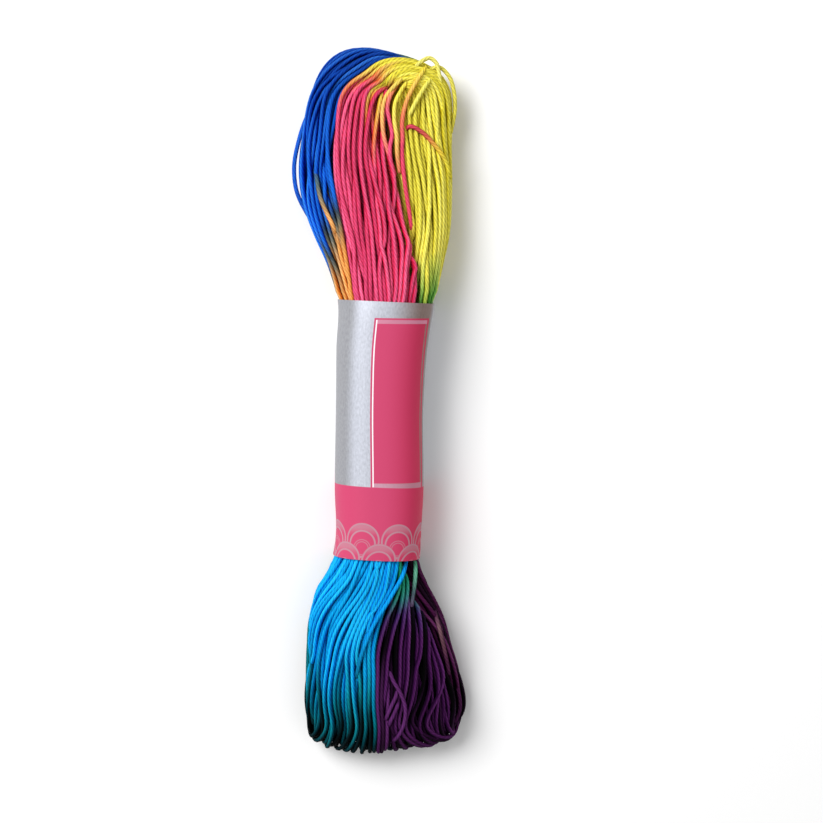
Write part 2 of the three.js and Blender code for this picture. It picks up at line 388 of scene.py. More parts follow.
@dataclass
class WoundForm:
    """The loop that the thread is wound into: two legs, two ends and a parting between them.

    The legs lie side by side in the upper lobe. The parting leans over inside the band, so that
    in the lower lobe the left leg lies in front of the right one.
    """

    outline: tuple[OutlineRow, ...] = (
        OutlineRow(-62, -16.4, 17.3, 10.2, 0.3, 5.1, 0, 0.4),
        OutlineRow(-57, -16.2, 16.5, 11.2, 0, 5.6, 2, 0.4),
        OutlineRow(-50, -15.3, 14.1, 12.4, -0.6, 6.3, 8, 0.4),
        OutlineRow(-43, -14.6, 12.1, 13.6, -1.2, 6.8, 18, 0.4),
        OutlineRow(-37, -12.9, 9.2, 15, -1.6, 7.4, 29, 0.4),
        OutlineRow(-33, -10.5, 7.5, 15.9, -1.2, 7.9, 36, 0.4),
        OutlineRow(-29, -9.5, 7.5, 16.1, -0.6, 8, 41, 0.4),
        OutlineRow(-17, -9.4, 8.1, 16, 0, 8, 44, 0.4),
        OutlineRow(0, -9.1, 8.1, 16, 0.8, 8, 45, 0.4),
        OutlineRow(10, -9, 8.8, 16.1, 1.7, 8, 45, 0.4),
        OutlineRow(20, -8.8, 10.4, 16.1, 2.5, 8, 46, 0.4),
        OutlineRow(27, -10.9, 12, 14.9, 2.5, 7.5, 51, 0.4),
        OutlineRow(33, -13.6, 13.3, 13.9, 2.3, 7, 56, 0.5),
        OutlineRow(40, -15.9, 13.7, 13, 1.7, 6.5, 64, 0.6),
        OutlineRow(50, -16.3, 13.7, 12, 0.8, 6, 76, 0.8),
        OutlineRow(60.5, -14.5, 13.9, 10.8, 2.2, 5.4, 90, 1),
    )
    top_end: tuple[tuple[float, float], ...] = (
        (-12.4, 65.2), (-9.6, 67.9), (-5.1, 70), (0.9, 68.6), (5.4, 67.5), (9.4, 66), (12.4, 63.7),
    )
    foot_end: tuple[tuple[float, float], ...] = (
        (-15.4, -66.6), (-13.2, -69.8), (-9, -71.3), (-5, -72.3), (-1.9, -72.4),
        (3.3, -71.5), (6.4, -70.5), (11.6, -70.1), (15, -67.8), (16.5, -65.2),
    )
    left_turning: tuple[Turning, ...] = (
        Turning(-62, -90), Turning(-54, -80), Turning(-48, -70), Turning(-42, -52), Turning(-36, -26),
        Turning(-31, -10), Turning(20, -8), Turning(50, -2), Turning(60.5, 3),
    )
    top_turning: tuple[Turning, ...] = (
        Turning(0, 4), Turning(0.1, 17), Turning(0.24, 30), Turning(0.4, 19), Turning(0.6, -22),
        Turning(0.8, -60), Turning(1, -75),
    )
    right_turning: tuple[Turning, ...] = (
        Turning(-62, -262), Turning(-50, -226), Turning(-31, -180), Turning(20, -90), Turning(45, -90),
        Turning(60.5, -75),
    )
    foot_turn: float = -178
    foot_hollow: float = 0.55
    arch_swell: float = 1.2
    band_top: float = 19.6
    band_foot: float = -30.4
    band_inset: float = 0.45
    mouth: float = 0.2
    mouth_flare: float = 2.0
    side_power: float = 2.4
    base_power: float = 5
    settle: float = 0.4
    lobe_step: float = 1.1
    band_step: float = 2.4
    top_steps: int = 26
    foot_steps: int = 20
    top_lap: float = 30
    foot_lap: float = 18

    def __post_init__(self) -> None:
        """Reads the outline's columns once."""
        rows = self.outline
        self.places = np.array([float(row.y) for row in rows])
        self.columns = np.array([astuple(row)[1:] for row in rows])
        self.low, self.high = self.places[0], self.places[-1]

    def row_at(self, y: float) -> Array:
        """The outline's columns at a place along the skein."""
        return smooth_read(self.places, self.columns, np.array([y]))[0]

    def inset_at(self, y: float) -> float:
        """How far inside the outline the thread lies: more where the paper holds it."""
        past = max(y - self.band_top, self.band_foot - y) - self.mouth
        return self.band_inset * (1.0 - float(smoothstep(0.0, self.mouth_flare, np.array(past))))

    def rounded(self, left: float, right: float, base: float, crown: float, points: int = 180) -> Array:
        """A rounded section between two edges, flat underneath.

        Args:
            left: Left edge.
            right: Right edge.
            base: Height of the underside.
            crown: Height of the crown.
            points: How many points run round it.

        Returns:
            Points across and up, running from the right edge over the crown.
        """
        angle = np.linspace(0.0, 2.0 * np.pi, points, endpoint=False)
        cosine, sine = np.cos(angle), np.sin(angle)
        power = 2.0 / np.where(sine < 0, self.base_power, self.side_power)
        foot = base - self.settle
        across = (left + right) / 2 + (right - left) / 2 * np.sign(cosine) * np.abs(cosine) ** power
        up = (foot + crown) / 2 + (crown - foot) / 2 * np.sign(sine) * np.abs(sine) ** power
        return np.column_stack([across, np.maximum(up, base)])

    @staticmethod
    def beyond_eye(section: Array, eye: float) -> Array:
        """Keeps the part of a section that lies outward of the parting.

        Args:
            section: Closed section, measured outward and beside.
            eye: How far out the kept part starts.

        Returns:
            The closed part.
        """
        depth = section[:, 0] - eye
        following = np.roll(section, -1, axis=0)
        kept: list[Array] = []
        for point, after, here, there in zip(section, following, depth, np.roll(depth, -1)):
            if here >= 0:
                kept.append(point)
            if here * there < 0:
                kept.append(point + (after - point) * here / (here - there))
        return np.array(kept)

    @staticmethod
    def fair_ring(section: Array, points: int = 144) -> tuple[Array, Array]:
        """Spaces points round a section so that spokes from its middle part it into equal areas.

        Args:
            section: Closed section.
            points: How many points to return.

        Returns:
            The points, and the middle of the section's area.
        """
        following = np.roll(section, -1, axis=0)
        cross = section[:, 0] * following[:, 1] - section[:, 1] * following[:, 0]
        middle = ((section + following) * cross[:, None]).sum(axis=0) / (3.0 * cross.sum())
        rising = (section[:, 1] <= middle[1]) & (following[:, 1] > middle[1])
        last = int(np.flatnonzero(rising & (section[:, 0] > middle[0]))[0])
        share = (middle[1] - section[last, 1]) / (following[last, 1] - section[last, 1])
        start = section[last] + share * (following[last] - section[last])
        closed = np.vstack([start, np.roll(section, -last - 1, axis=0), start])
        spokes = closed - middle
        areas = np.abs(spokes[:-1, 0] * spokes[1:, 1] - spokes[:-1, 1] * spokes[1:, 0])
        swept = np.concatenate([[0.0], np.cumsum(areas)])
        wanted = np.linspace(0.0, swept[-1], points, endpoint=False)
        return np.column_stack([np.interp(wanted, swept, closed[:, i]) for i in (0, 1)]), middle

    def leg_cut(self, y: float, side: int) -> Cut:
        """One leg's section: what lies on its side of the parting.

        Args:
            y: Place along the skein.
            side: -1 for the left leg, 1 for the right.

        Returns:
            The section.
        """
        left, right, height, split, level, lean, eye = self.row_at(y)
        inset = self.inset_at(y)
        slope = math.radians(lean)
        outward = side * np.array([math.sin(slope), -math.cos(slope)])
        beside = np.array([math.cos(slope), math.sin(slope)])
        outline = self.rounded(left + inset, right - inset, inset, height - inset) - [split, level]
        section = self.beyond_eye(np.column_stack([outline @ outward, outline @ beside])[::side], eye)
        return Cut(
            np.array([split, y, level]),
            np.array([outward[0], 0.0, outward[1]]),
            np.array([beside[0], 0.0, beside[1]]),
            section,
        )

    def top_cuts(self) -> list[Cut]:
        """The sections that fan round the upper end, in the plane that the skein lies in."""
        left, right, height, split, _, _, eye = self.row_at(self.high)
        points = np.array([(left, self.high), *self.top_end, (right, self.high)])
        knots = np.linspace(0.0, 1.0, len(points))
        centre = np.array([split, self.high])
        off_centre = split - (left + right) / 2
        found = []
        for share in self.shares(self.top_steps):
            spoke = smooth_read(knots, points, np.array([share]))[0] - centre
            reach = float(np.hypot(*spoke))
            crown = height + self.arch_swell * math.sin(math.pi * share)
            section = self.rounded(2 * off_centre * (1 - 2 * share) - reach, reach, 0.0, crown)
            ahead = np.array([*(spoke / reach), 0.0])
            kept = self.beyond_eye(section, eye)
            found.append(Cut(np.array([*centre, 0.0]), ahead, np.array([0.0, 0.0, 1.0]), kept))
        return found

    def foot_cuts(self) -> list[Cut]:
        """The sections that fold under at the lower end, from the back leg up to the front one."""
        left, right, height, split, level, _, eye = self.row_at(self.low)
        whole = self.rounded(left, right, 0.0, height, 720)
        across = np.linspace(left + 0.05, right - 0.05, 90)
        upper = whole[whole[:, 1] >= level]
        lower = whole[whole[:, 1] <= level]
        rise, drop = (
            np.interp(across, part[order, 0], np.abs(part[order, 1] - level))
            for part, order in ((upper, np.argsort(upper[:, 0])), (lower, np.argsort(lower[:, 0])))
        )
        edge = np.array([(left, self.low), *self.foot_end, (right, self.low)])
        out = np.maximum(self.low - smooth_read(edge[:, 0], edge[:, 1], across), 0.05)
        found = []
        for share in self.shares(self.foot_steps):
            angle = math.pi * share
            sine, cosine = math.sin(angle), math.cos(angle)
            stand = drop if cosine > 0 else rise
            reach = 1.0 / np.sqrt((cosine / np.maximum(stand, 0.05)) ** 2 + (sine / out) ** 2)
            inner = eye + self.foot_hollow * sine * (reach - eye)
            shown = reach > eye + 0.1
            skin = np.column_stack([reach, across - split])[shown]
            lining = np.column_stack([inner, across - split])[shown]
            outward = np.array([0.0, -sine, -cosine])
            section = np.vstack([skin, lining[::-1]])
            origin, beside = np.array([split, self.low, level]), np.array([1.0, 0.0, 0.0])
            found.append(Cut(origin, outward, beside, section))
        return found

    @staticmethod
    def shares(steps: int) -> Array:
        """Even shares of an end, without its two edges."""
        return np.arange(1, steps) / steps

    def leg_places(self) -> Array:
        """Places along a leg, closer together in the lobes than inside the band."""
        spans = [
            (self.low, self.band_foot, self.lobe_step),
            (self.band_foot, self.band_top, self.band_step),
            (self.band_top, self.high, self.lobe_step),
        ]
        parts = [np.linspace(a, b, math.ceil((b - a) / step), endpoint=False) for a, b, step in spans]
        return np.concatenate([*parts, [self.high]])

    @property
    def band_middle(self) -> float:
        """Y of the middle of the band, where each turn of thread starts."""
        return (self.band_top + self.band_foot) / 2

    def lap_at(self, stretch: Stretch, place: float) -> float:
        """How far round a turn a place is, as a share of the whole turn.

        Args:
            stretch: Which stretch of the turn.
            place: Y on a leg, or the share of an end.

        Returns:
            The share, from 0 in the middle of the band on the left leg.
        """
        leg = self.high - self.low
        starts = {
            Stretch.LEFT_LEG: place - self.low,
            Stretch.TOP_END: leg + place * self.top_lap,
            Stretch.RIGHT_LEG: leg + self.top_lap + self.high - place,
            Stretch.FOOT_END: 2 * leg + self.top_lap + place * self.foot_lap,
        }
        whole = 2 * leg + self.top_lap + self.foot_lap
        return ((starts[stretch] - (self.band_middle - self.low)) / whole) % 1.0

    def turnings(self, ys: Array) -> Array:
        """How far each section is turned from its outward side, in degrees."""
        lean = smooth_read(self.places, self.columns[:, 5], ys)
        left, right, top = (
            smooth_read(*np.array([(t.at, t.turn) for t in rows], dtype=float).T, at)
            for rows, at in (
                (self.left_turning, ys),
                (self.right_turning, ys),
                (self.top_turning, self.shares(self.top_steps)),
            )
        )
        left, right = left - (90 - lean), right + (90 - lean)
        halves = np.array([0.0, 0.5, 1.0])
        foot_turns = np.array([right[0], self.foot_turn, left[0]])
        foot = smooth_read(halves, foot_turns, self.shares(self.foot_steps))
        return np.concatenate([left, top, right[::-1], foot])

    def stations(self) -> Stations:
        """Every section round one turn, starting inside the band on the left leg.

        Returns:
            The sections.
        """
        ys = self.leg_places()
        cuts = [
            *(self.leg_cut(y, -1) for y in ys),
            *self.top_cuts(),
            *(self.leg_cut(y, 1) for y in ys[::-1]),
            *self.foot_cuts(),
        ]
        laps = [
            *(self.lap_at(Stretch.LEFT_LEG, y) for y in ys),
            *(self.lap_at(Stretch.TOP_END, s) for s in self.shares(self.top_steps)),
            *(self.lap_at(Stretch.RIGHT_LEG, y) for y in ys[::-1]),
            *(self.lap_at(Stretch.FOOT_END, s) for s in self.shares(self.foot_steps)),
        ]
        rings, middles = zip(*(self.fair_ring(cut.section) for cut in cuts))
        ring, middle = np.array(rings), np.array(middles)
        found = Stations(
            origin=np.array([cut.origin for cut in cuts]),
            outward=np.array([cut.outward for cut in cuts]),
            beside=np.array([cut.beside for cut in cuts]),
            ring=ring,
            middle=middle,
            reach=self.reaches(ring, middle),
            turn=np.radians(self.turnings(ys)),
            lap=np.array(laps),
        )
        return found.rolled(int(np.argmax(ys >= self.band_middle)))

    @staticmethod
    def reaches(ring: Array, middle: Array, bearings: int = 128) -> Array:
        """How far each section reaches from its middle, by bearing."""
        spokes = ring - middle[:, None, :]
        bearing = np.arctan2(spokes[..., 1], spokes[..., 0])
        length = np.hypot(spokes[..., 0], spokes[..., 1])
        wanted = np.linspace(-np.pi, np.pi, bearings, endpoint=False)
        return np.array([np.interp(wanted, b, r, period=2 * np.pi) for b, r in zip(bearing, length)])


@dataclass(frozen=True)
class DyeStop:
    """A colour that the thread has at a place on its turn, and how far it slips with the creep."""

    stretch: Stretch
    place: float
    colour: Colour
    slip: float = 1.0


@dataclass(frozen=True)
class DyeRun:
    """One run of colour along a turn, and how unevenly it crept, as a share of the turn."""

    creep: float
    stops: tuple[DyeStop, ...]


@dataclass(frozen=True)
class DyedCotton:
    """Soft twisted cotton, dyed in long runs of colour that ran into each other."""

    rose: DyeRun = DyeRun(0.04, (
        DyeStop(LEFT, 10, (246, 102, 147)),
        DyeStop(LEFT, 52.5, (246, 100, 142)),
        DyeStop(LEFT, 58.5, (246, 150, 100)),
        DyeStop(TOP, 0.1, (252, 214, 118)),
        DyeStop(TOP, 0.28, (250, 238, 92)),
        DyeStop(RIGHT, 27, (250, 240, 106), 0.3),
        DyeStop(RIGHT, 23, (206, 222, 104), 0.3),
        DyeStop(RIGHT, 18.5, (118, 190, 86), 0.3),
    ))
    blue: DyeRun = DyeRun(0.008, (
        DyeStop(LEFT, 10, (253, 184, 108)),
        DyeStop(LEFT, 27, (253, 184, 108)),
        DyeStop(LEFT, 30.5, (206, 158, 110)),
        DyeStop(LEFT, 33, (138, 136, 118)),
        DyeStop(LEFT, 35, (78, 98, 116)),
        DyeStop(LEFT, 38.5, (46, 132, 238)),
        DyeStop(LEFT, 54, (42, 120, 222)),
        DyeStop(TOP, 0.2, (32, 90, 184), 0.1),
        DyeStop(TOP, 0.56, (30, 86, 178), 0.1),
        DyeStop(TOP, 0.64, (110, 140, 80), 0.1),
        DyeStop(TOP, 0.73, (236, 226, 92), 0.1),
        DyeStop(RIGHT, 27, (250, 240, 106), 0.3),
        DyeStop(RIGHT, 18.5, (118, 190, 86), 0.3),
    ))
    cyan: DyeRun = DyeRun(0.018, (
        DyeStop(RIGHT, -22, (40, 120, 96)),
        DyeStop(RIGHT, -33, (10, 66, 76)),
        DyeStop(FOOT, 0.3, (4, 26, 32)),
        DyeStop(FOOT, 0.62, (4, 24, 28)),
        DyeStop(FOOT, 0.8, (7, 62, 70)),
        DyeStop(LEFT, -61, (13, 136, 150)),
        DyeStop(LEFT, -56, (16, 162, 198)),
        DyeStop(LEFT, -50, (26, 188, 249)),
        DyeStop(LEFT, -16, (26, 188, 249)),
    ))
    teal: DyeRun = DyeRun(0.018, (
        DyeStop(RIGHT, -22, (16, 96, 110)),
        DyeStop(RIGHT, -36, (8, 56, 66)),
        DyeStop(FOOT, 0.3, (4, 26, 32)),
        DyeStop(FOOT, 0.62, (4, 28, 32)),
        DyeStop(FOOT, 0.85, (7, 66, 74)),
        DyeStop(LEFT, -61, (12, 122, 134)),
        DyeStop(LEFT, -57, (14, 142, 162)),
        DyeStop(LEFT, -52, (18, 166, 210)),
        DyeStop(LEFT, -46, (25, 186, 249)),
        DyeStop(LEFT, -18, (25, 186, 249)),
    ))
    purple: DyeRun = DyeRun(0.006, (
        DyeStop(RIGHT, -20, (40, 120, 96)),
        DyeStop(RIGHT, -30, (104, 44, 94)),
        DyeStop(RIGHT, -60, (90, 36, 82)),
        DyeStop(FOOT, 0.6, (88, 38, 94)),
        DyeStop(LEFT, -60, (104, 49, 112)),
        DyeStop(LEFT, -46, (116, 56, 126)),
        DyeStop(LEFT, -40.5, (112, 80, 142)),
        DyeStop(LEFT, -37.5, (84, 160, 158)),
        DyeStop(LEFT, -34, (50, 178, 140)),
        DyeStop(LEFT, -18, (50, 178, 140)),
    ))
    # painted shade: purple darkened to near black where the turns stand in for shade between purple ones;
    # green higher up
    black: DyeRun = DyeRun(0.024, (
        DyeStop(RIGHT, -20, (30, 90, 72), 0.2),
        DyeStop(RIGHT, -30, (44, 16, 42), 0.2),
        DyeStop(FOOT, 0.4, (44, 17, 46)),
        DyeStop(FOOT, 0.9, (66, 28, 70)),
        DyeStop(LEFT, -59, (62, 26, 66)),
        DyeStop(LEFT, -54, (26, 9, 28)),
        DyeStop(LEFT, -45, (22, 7, 24), 0.2),
        DyeStop(LEFT, -39, (50, 36, 66), 0.2),
        DyeStop(LEFT, -36, (30, 116, 104), 0.2),
        DyeStop(LEFT, -18, (26, 148, 116), 0.2),
    ))
    plies: float = 4
    ply_pitch: float = 4.4
    roughness: float = 0.8

    def run(self, dye: Dye) -> DyeRun:
        """One run of colour."""
        runs = (self.rose, self.blue, self.cyan, self.teal, self.purple, self.black)
        return dict(zip(Dye, runs))[dye]

    def colours(
        self, form: WoundForm, dyes: tuple[Dye, Dye], lap: Array, late: float, random: np.random.Generator
    ) -> Array:
        """The colour of one turn along its length.

        Args:
            form: The loop, which places the colours.
            dyes: The run of colour in the upper lobe and the one in the lower.
            lap: Places on the turn.
            late: How much further on than others this turn took its upper run, as a share of a turn.
            random: Where the dye crept.

        Returns:
            A linear colour for each place.
        """
        places, tints = [], []
        for dye, behind in zip(dyes, (late, 0.0)):
            run = self.run(dye)
            shift = behind + random.uniform(-run.creep, run.creep)
            places += [form.lap_at(stop.stretch, stop.place) + shift * stop.slip for stop in run.stops]
            tints += [linear(stop.colour)[:3] for stop in run.stops]
        order = np.argsort(places)
        marks, colours = np.array(places)[order], np.array(tints)[order]
        return np.column_stack([np.interp(lap, marks, colours[:, i], period=1.0) for i in range(3)])

    def material(self) -> bpy.types.Material:
        """Makes the dyed cotton.

        Returns:
            The material.
        """
        shader = Shader("dyed_cotton")
        dyed = shader.attribute("dye", "Color")
        tone_and_shade = shader.attribute("tone_and_shade")
        place = shader.node("ShaderNodeTexCoord", output="Object")
        around, along, _ = shader.split(shader.node("ShaderNodeTexCoord", output="UV"))
        blotch = shader.noise(900.0, 2.0, place)
        twist = around * self.plies + along * (self.plies / self.ply_pitch)
        ply = (twist * math.pi).math("SINE").math("ABSOLUTE")
        # painted shade: the deep turns, the inward sides and the grooves between the plies are darkened
        # here, with the dye's blotches and random per-turn tones
        depth = tone_and_shade * (blotch * 0.5 + 0.75) * (ply * 0.35 + 0.65)
        fibre = shader.noise(5200.0, 3.0, place)
        return shader.finish(
            {
                "Base Color": shader.dimmed(dyed, depth),
                "Roughness": fibre * 0.2 + self.roughness - 0.1,
                "Normal": shader.bump(ply + fibre * 0.35, 0.07 * MM),
                "Specular IOR Level": 0.04,
            }
        )


@dataclass
class Strand:
    """A round strand along a centre line in millimetres, closed at both ends.

    Outward is the way from the middle of the bundle. The side that faces inward is painted darker, as
    shade.
    """

    centres: Array
    outward: Array
    colours: Array
    tone_and_shade: Array
    diameter: float
    sides: int = 8
    crevice_shade: float = 0.78
    crevice_deepening: float = 1.15

    def __post_init__(self) -> None:
        """Finds the way that each point of the wall faces."""
        side, up = self.frames()
        angle = np.linspace(0.0, 2.0 * np.pi, self.sides, endpoint=False)[None, :, None]
        self.facing = np.cos(angle) * side[:, None, :] + np.sin(angle) * up[:, None, :]

    def frames(self) -> tuple[Array, Array]:
        """Two directions square to the strand, carried along it without twisting.

        Returns:
            The two directions at each point.
        """
        ahead = np.gradient(self.centres, axis=0)
        ahead /= np.linalg.norm(ahead, axis=1, keepdims=True)
        side = np.empty_like(ahead)
        seed = np.cross(ahead[0], (0.0, 0.1, 1.0))
        side[0] = seed / np.linalg.norm(seed)
        for i in range(1, len(ahead)):
            carried = side[i - 1] - ahead[i] * (side[i - 1] @ ahead[i])
            side[i] = carried / math.sqrt(carried @ carried)
        return side, np.cross(ahead, side)

    def wall(self) -> Array:
        """Points of the strand's wall, ring by ring, in metres."""
        return (self.centres[:, None, :] + self.diameter / 2.0 * self.facing).reshape(-1, 3) * MM

    @property
    def openness(self) -> Array:
        """How far each point of the wall faces out of the bundle, from 0 to 1."""
        return smoothstep(-0.3, 0.8, (self.facing * self.outward[:, None, :]).sum(axis=2))

    def shades(self) -> Array:
        """How light each point of the wall is: painted shade on the side that faces into the bundle."""
        return (self.tone_and_shade[:, None] * (self.crevice_shade + (1.0 - self.crevice_shade) * self.openness)).ravel()

    def dyes(self) -> Array:
        """The colour of each point of the wall, painted darker and deeper as shade on the side that faces
        into the bundle.
        """
        strength = 1.0 + self.crevice_deepening * (1.0 - self.openness * self.tone_and_shade[:, None])
        return (self.colours[:, None, :] ** strength[..., None]).reshape(-1, 3)

    def faces(self, first: int) -> list[list[int]]:
        """Faces of the wall and both ends, for points numbered from first."""
        count = len(self.centres)
        here = first + np.arange(count - 1)[:, None] * self.sides
        this = np.arange(self.sides)[None, :]
        after = (this + 1) % self.sides
        there = here + self.sides
        quads = np.stack([here + this, here + after, there + after, there + this], axis=2)
        start = list(range(first, first + self.sides))[::-1]
        last = first + (count - 1) * self.sides
        return quads.reshape(-1, 4).tolist() + [start, list(range(last, last + self.sides))]

    def unwrap(self) -> Array:
        """Maps the wall by its share round the strand and its length in millimetres."""
        count = len(self.centres)
        lengths = run_lengths(self.centres)
        low, high = lengths[:-1, None], lengths[1:, None]
        first = np.broadcast_to(np.arange(self.sides) / self.sides, (count - 1, self.sides))
        after = first + 1.0 / self.sides
        corners = [(first, low), (after, low), (after, high), (first, high)]
        wall = np.stack([np.stack(np.broadcast_arrays(u, v), axis=2) for u, v in corners], axis=2)
        return np.vstack([wall.reshape(-1, 2), np.zeros((2 * self.sides, 2))])


def put_values(mesh: bpy.types.Mesh, name: str, kind: str, key: str, values: Array) -> None:
    """Gives each point of a mesh a value that its material reads.

    Args:
        mesh: The mesh.
        name: The attribute's name.
        kind: Its type.
        key: The name of its data.
        values: The values, point by point.
    """
    layer = mesh.attributes.new(name, kind, "POINT")
    layer.data.foreach_set(key, values.ravel().astype(np.float32))


def mesh_strands(name: str, strands: Sequence[Strand]) -> bpy.types.Object:
    """Makes one piece of several strands, with their UV map and their dye and lightness, both with
    painted shade in them.

    Args:
        name: The piece's name.
        strands: The strands.

    Returns:
        The piece.
    """
    points: list[Array] = []
    faces: list[list[int]] = []
    for strand in strands:
        faces += strand.faces(sum(len(part) for part in points))
        points.append(strand.wall())
    mesh = bpy.data.meshes.new(name)
    mesh.from_pydata(np.vstack(points).tolist(), [], faces)
    mesh.polygons.foreach_set("use_smooth", np.ones(len(mesh.polygons), dtype=bool))
    uv = np.vstack([strand.unwrap() for strand in strands])
    mesh.uv_layers.new(name="strand").data.foreach_set("uv", uv.ravel().astype(np.float32))
    # dye colours deepened, and lightness darkened, as painted shade where strands face into the bundle
    colours = np.vstack([s.dyes() for s in strands])
    dye = np.column_stack([colours, np.ones(len(colours))])
    put_values(mesh, "dye", "FLOAT_COLOR", "color", dye)
    tone_and_shade = np.concatenate([s.shades() for s in strands])
    put_values(mesh, "tone_and_shade", "FLOAT", "value", tone_and_shade)
    piece = bpy.data.objects.new(name, mesh)
    bpy.context.scene.collection.objects.link(piece)
    return piece


def dress(piece: bpy.types.Object, material: bpy.types.Material, node: str) -> None:
    """Gives a piece its material and ties it to the frame.

    Args:
        piece: The piece.
        material: Its finish.
        node: The solid that it stands for.
    """
    piece.data.materials.append(material)
    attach(piece, BODY)
    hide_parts(node)
    LOG.info("%s: %d faces", piece.name, len(piece.data.polygons))


@dataclass
class ThreadTurns:
    """The thread itself: turn after turn of one strand, settled against its neighbours."""

    form: WoundForm
    finish: DyedCotton
    diameter: float = 0.84
    turns: int = 144
    crowding: float = 0.86
    wander: float = 0.1
    waves: tuple[int, ...] = (1, 2, 3, 5, 8, 13)
    skin: float = 0.62
    pieces: int = 3
    rounds: int = 12
    sweeps: int = 10
    stiffness: float = 0.2
    end_softness: int = 10
    upper_end: tuple[float, float] = (44.0, 56.0)
    lower_end: tuple[float, float] = (50.0, 58.0)
    deep_shade: float = 0.84
    tone_range: tuple[float, float] = (0.8, 1.1)
    upper_mark: float = 42.0
    lower_mark: float = -48.0
    blue_lean: float = 15
    blue_from: float = 0.15
    purple_span: tuple[float, float] = (167.0, 320.0)
    cyan_span: tuple[float, float] = (80.0, 168.0)
    late_rate: float = 0.1
    late_edge: float = 0.62

    def __post_init__(self) -> None:
        """Draws the sections and seeds the unevenness."""
        self.stations = self.form.stations()
        self.random = np.random.default_rng(SEED)
        self.start = self.start_places()
        self.material = self.finish.material()

    def start_places(self) -> Array:
        """Where each turn stands in the bundle: rows of a close-packed disc, back and forth.

        Returns:
            One place in the unit disc for each turn.
        """
        pitch = math.sqrt(2.0 * math.pi / (math.sqrt(3.0) * self.turns))
        while True:
            rows = np.arange(-1.0, 1.0, pitch * math.sqrt(3.0) / 2.0)
            found = []
            for i, up in enumerate(rows):
                across = np.arange(-1.0 + (i % 2) * pitch / 2.0, 1.0, pitch)
                row = [(a, up) for a in across if math.hypot(a, up) <= 0.98]
                found.extend(row[:: 1 if i % 2 else -1])
            if len(found) >= self.turns:
                return np.array(found[: self.turns])
            pitch *= 0.995

    def lay(self) -> Array:
        """Lays every turn through every section, before settling.

        Returns:
            Places measured outward and beside, by station and turn.
        """
        count = len(self.stations.lap)
        phase = 2.0 * np.pi * self.stations.lap
        drift = np.zeros((count, self.turns, 2))
        for waves in self.waves:
            size = self.wander / math.sqrt(waves) * self.random.normal(size=(self.turns, 2))
            shift = self.random.uniform(0.0, 2.0 * np.pi, size=(self.turns, 2))
            drift += size * np.sin(waves * phase[:, None, None] + shift)
        places = self.start + drift
        self.drifted = places
        radius = np.clip(np.hypot(places[..., 0], places[..., 1]), 0.0, 1.0) ** self.crowding
        # painted shade: turns that lie deep in the bundle are darker
        self.shade = self.deep_shade + (1.0 - self.deep_shade) * smoothstep(0.6, 0.95, radius)
        bearing = np.arctan2(places[..., 1], places[..., 0]) + self.stations.turn[:, None]
        ring = self.stations.ring
        size = ring.shape[1]
        share = np.mod(bearing / (2.0 * np.pi), 1.0) * size
        low = share.astype(int)
        part = (share - low)[..., None]
        rows = np.arange(count)[:, None]
        edge = ring[rows, low % size] * (1.0 - part) + ring[rows, (low + 1) % size] * part
        middle = self.stations.middle[:, None, :]
        return middle + radius[..., None] * (edge - middle)

    def near(self, places: Array) -> tuple[Whole, Whole]:
        """Finds the pairs of strands that lie close in any section."""
        first, second = np.triu_indices(self.turns, 1)
        apart = places[:, second] - places[:, first]
        station, pair = np.nonzero((apart**2).sum(axis=2) < (1.5 * self.diameter) ** 2)
        return station * self.turns + first[pair], station * self.turns + second[pair]

    def parted(self, flat: Array, first: Whole, second: Whole) -> Array:
        """How far each place moves so that strands that overlap come apart."""
        apart = flat[second] - flat[first]
        gap = np.maximum(np.hypot(apart[:, 0], apart[:, 1]), 1e-6)
        push = np.clip(self.diameter - gap, 0.0, None) / gap * 0.45
        move = apart * push[:, None]
        size = len(flat)
        onward, back = (
            np.column_stack([np.bincount(which, move[:, i], size) for i in (0, 1)])
            for which in (second, first)
        )
        return onward - back

    def contained(self, places: Array) -> Array:
        """Keeps every strand inside its section."""
        spokes = places - self.stations.middle[:, None, :]
        length = np.hypot(spokes[..., 0], spokes[..., 1])
        reach = self.stations.reach
        size = reach.shape[1]
        share = np.mod(np.arctan2(spokes[..., 1], spokes[..., 0]) / (2.0 * np.pi) + 0.5, 1.0) * size
        low = share.astype(int)
        part = share - low
        rows = np.arange(len(places))[:, None]
        limit = reach[rows, low % size] * (1.0 - part) + reach[rows, (low + 1) % size] * part
        limit = np.maximum(limit - self.diameter / 2.0, 0.2)
        scale = np.minimum(1.0, limit / np.maximum(length, 1e-6))
        return self.stations.middle[:, None, :] + spokes * scale[..., None]

    def settled(self, laid: Array) -> Array:
        """Lets neighbours push each other apart while each strand stays as smooth as it was laid.

        Args:
            laid: Places by station and turn.

        Returns:
            The settled places.
        """
        count = len(laid)
        places = self.contained(laid)
        for _ in range(self.rounds):
            first, second = self.near(places)
            for _ in range(self.sweeps):
                flat = places.reshape(-1, 2)
                places = (flat + self.parted(flat, first, second)).reshape(count, self.turns, 2)
                moved = (places - laid).transpose(1, 0, 2).reshape(-1, 2)
                moved[1:-1] += self.stiffness * (moved[:-2] + moved[2:] - 2.0 * moved[1:-1])
                places = self.contained(laid + moved.reshape(self.turns, count, 2).transpose(1, 0, 2))
        return places

    def softened(self, points: Array) -> Array:
        """Rounds off the way that each strand bends into the ends of the lobes.

        Args:
            points: Centre line of the whole thread.

        Returns:
            The rounded centre line.
        """
        along = self.stations.origin[:, 1]
        near_end = smoothstep(*self.upper_end, along) + smoothstep(*self.lower_end, -along)
        share = np.tile(near_end, self.turns)[1:-1, None]
        for _ in range(self.end_softness):
            points[1:-1] += 0.25 * share * (points[:-2] + points[2:] - 2.0 * points[1:-1])
        return points

